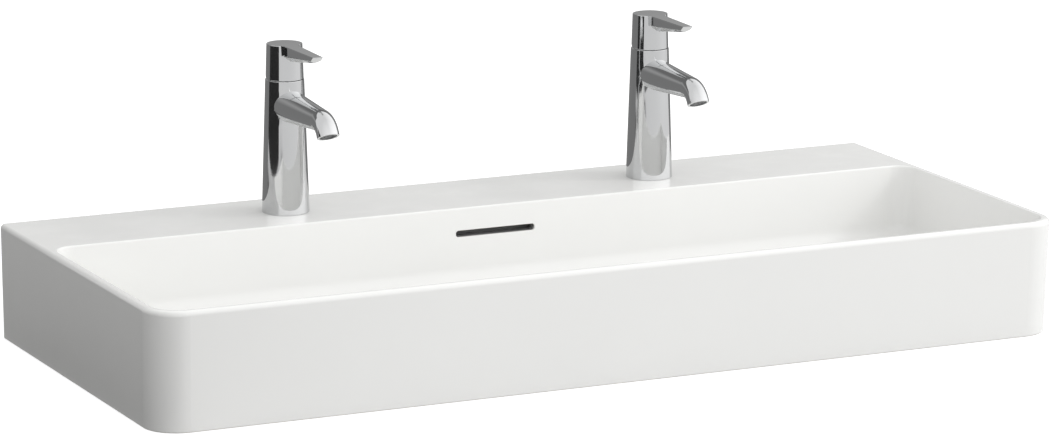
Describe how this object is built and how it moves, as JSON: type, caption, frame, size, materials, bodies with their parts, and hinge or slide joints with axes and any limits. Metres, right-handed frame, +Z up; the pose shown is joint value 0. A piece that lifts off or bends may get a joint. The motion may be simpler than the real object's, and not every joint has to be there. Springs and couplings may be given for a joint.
{
  "type": "countertop basin",
  "caption": "Long rectangular white glazed basin with a rear deck, a slot overflow, chrome single-lever mixer taps and a push-down waste.",
  "frame": {"origin": "middle of the footprint, on the surface that the basin stands on", "axes": "+X along the basin to the user's right, +Y to the wall behind, +Z up; the user stands at -Y"},
  "size_m": [0.95, 0.4198, 0.2834],
  "materials": {
    "glaze": "gloss white glaze",
    "chrome": "polished",
    "rubber": "matt",
    "brass": "machined",
    "steel": "machined",
    "disc_ceramic": "lapped",
    "white_plastic": "moulded",
    "grey_plastic": "moulded"
  },
  "bodies": {
    "basin_unit": {"basin": "glaze", "waste_body": "chrome", "waste_top_gasket": "rubber", "waste_bottom_gasket": "rubber", "waste_backnut": "brass", "plug_guide": "white_plastic", "left_tap_body": "chrome", "left_base_seal": "rubber", "left_cartridge_gasket": "rubber", "left_cartridge_housing": "white_plastic", "left_fixed_disc": "disc_ceramic", "left_retaining_nut": "brass", "left_cartridge_cover": "chrome", "left_aerator": "grey_plastic", "left_aerator_seal": "rubber", "left_mounting_stud": "brass", "left_horseshoe_seal": "rubber", "left_horseshoe_plate": "steel", "left_stud_nut": "brass", "right_tap_body": "chrome", "right_base_seal": "rubber", "right_cartridge_gasket": "rubber", "right_cartridge_housing": "white_plastic", "right_fixed_disc": "disc_ceramic", "right_retaining_nut": "brass", "right_cartridge_cover": "chrome", "right_aerator": "grey_plastic", "right_aerator_seal": "rubber", "right_mounting_stud": "brass", "right_horseshoe_seal": "rubber", "right_horseshoe_plate": "steel", "right_stud_nut": "brass"},
    "plug": {"plug_cap": "chrome", "plug_seal": "rubber", "plug_spindle": "brass", "plug_stop_nut": "brass"},
    "left_swivel": {"left_lever_carrier": "white_plastic", "left_pivot_pin": "steel"},
    "left_lever": {"left_handle": "chrome", "left_lever_stem": "steel", "left_grub_screw": "steel", "left_screw_plug": "grey_plastic"},
    "left_disc": {"left_moving_disc": "disc_ceramic", "left_disc_driver": "white_plastic"},
    "right_swivel": {"right_lever_carrier": "white_plastic", "right_pivot_pin": "steel"},
    "right_lever": {"right_handle": "chrome", "right_lever_stem": "steel", "right_grub_screw": "steel", "right_screw_plug": "grey_plastic"},
    "right_disc": {"right_moving_disc": "disc_ceramic", "right_disc_driver": "white_plastic"}
  },
  "joints": [
    {"name": "plug_slide", "type": "slide", "parent": "basin_unit", "child": "plug", "axis": [0, 0, 1], "range_m": [0, 0.0078]},
    {"name": "left_swivel_turn", "type": "hinge", "parent": "basin_unit", "child": "left_swivel", "pos_m": [-0.2, 0.1465, 0.248], "axis": [0, 0, 1], "range_deg": [-45, 45]},
    {"name": "left_lever_lift", "type": "hinge", "parent": "left_swivel", "child": "left_lever", "pos_m": [-0.2, 0.1465, 0.248], "axis": [-1, 0, 0], "range_deg": [0, 24]},
    {"name": "left_disc_slide", "type": "slide", "parent": "left_swivel", "child": "left_disc", "axis": [0, -1, 0], "range_m": [0, 0.0058]},
    {"name": "right_swivel_turn", "type": "hinge", "parent": "basin_unit", "child": "right_swivel", "pos_m": [0.2, 0.1465, 0.248], "axis": [0, 0, 1], "range_deg": [-45, 45]},
    {"name": "right_lever_lift", "type": "hinge", "parent": "right_swivel", "child": "right_lever", "pos_m": [0.2, 0.1465, 0.248], "axis": [-1, 0, 0], "range_deg": [0, 24]},
    {"name": "right_disc_slide", "type": "slide", "parent": "right_swivel", "child": "right_disc", "axis": [0, -1, 0], "range_m": [0, 0.0058]}
  ],
  "couplings": [
    {"joint": "left_disc_slide", "follows": "left_lever_lift", "m_per_rad": 0.013594},
    {"joint": "right_disc_slide", "follows": "right_lever_lift", "m_per_rad": 0.013594}
  ]
}
